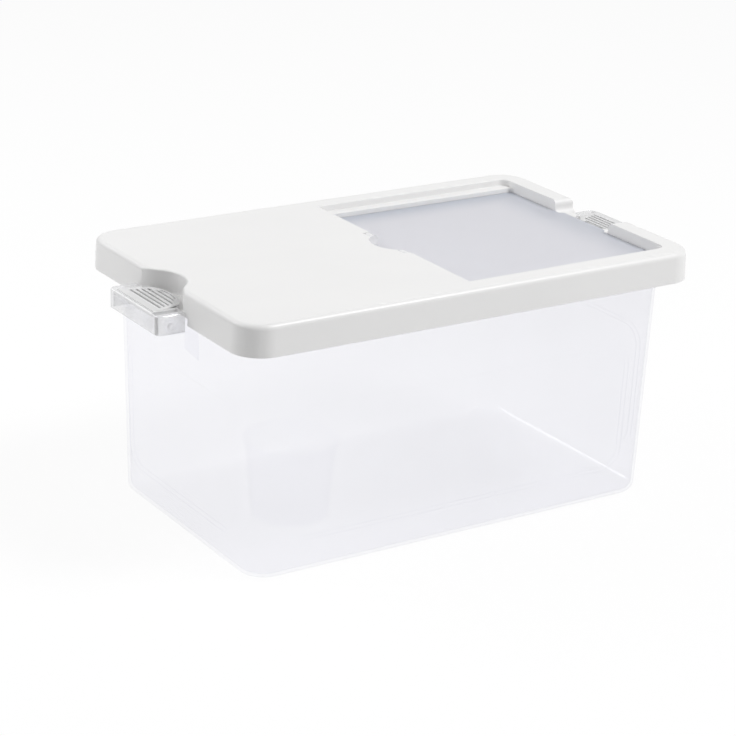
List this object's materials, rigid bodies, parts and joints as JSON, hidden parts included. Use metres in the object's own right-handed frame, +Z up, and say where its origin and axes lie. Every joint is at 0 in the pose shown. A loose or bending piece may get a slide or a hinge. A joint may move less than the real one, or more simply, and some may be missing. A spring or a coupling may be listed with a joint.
{
  "type": "rice bin",
  "caption": "Clear rectangular rice bin with a white lift-off lid, a clear flip panel over half of it, a swing-over latch at each end and a measuring cup inside.",
  "frame": {"origin": "centre of the footprint, on the surface that the bin stands on", "axes": "+Z up, +X along the length towards the flip panel's free end, -Y towards the front"},
  "size_m": [0.446, 0.2462, 0.204],
  "materials": {
    "clear_bin": "clear moulded polypropylene, faintly cool and milky",
    "lid_white": "glossy warm white moulding",
    "clear_panel": "clear moulded plastic",
    "clear_latch": "clear moulded plastic with a ribbed pad",
    "clear_cup": "clear thin-walled moulding"
  },
  "bodies": {
    "bin": {"bin_body": "clear_bin"},
    "lid": {"lid": "lid_white"},
    "panel": {"flip_panel": "clear_panel"},
    "latch_left": {"left_latch": "clear_latch"},
    "latch_right": {"right_latch": "clear_latch"},
    "cup": {"measuring_cup": "clear_cup"}
  },
  "joints": [
    {"name": "lid_lift", "type": "slide", "parent": "bin", "child": "lid", "axis": [0, 0, 1], "range_m": [0, 0.09]},
    {"name": "panel_flip", "type": "hinge", "parent": "lid", "child": "panel", "pos_m": [-0.0052, 0, 0.1998], "axis": [0, -1, 0], "range_deg": [0, 180]},
    {"name": "left_latch_swing", "type": "hinge", "parent": "bin", "child": "latch_left", "pos_m": [-0.209, 0, 0.179], "axis": [0, -1, 0], "range_deg": [0, 110]},
    {"name": "right_latch_swing", "type": "hinge", "parent": "bin", "child": "latch_right", "pos_m": [0.209, 0, 0.179], "axis": [0, 1, 0], "range_deg": [0, 110]},
    {"name": "cup_lift", "type": "slide", "parent": "bin", "child": "cup", "axis": [0, 0, 1], "range_m": [0, 0.105]}
  ]
}
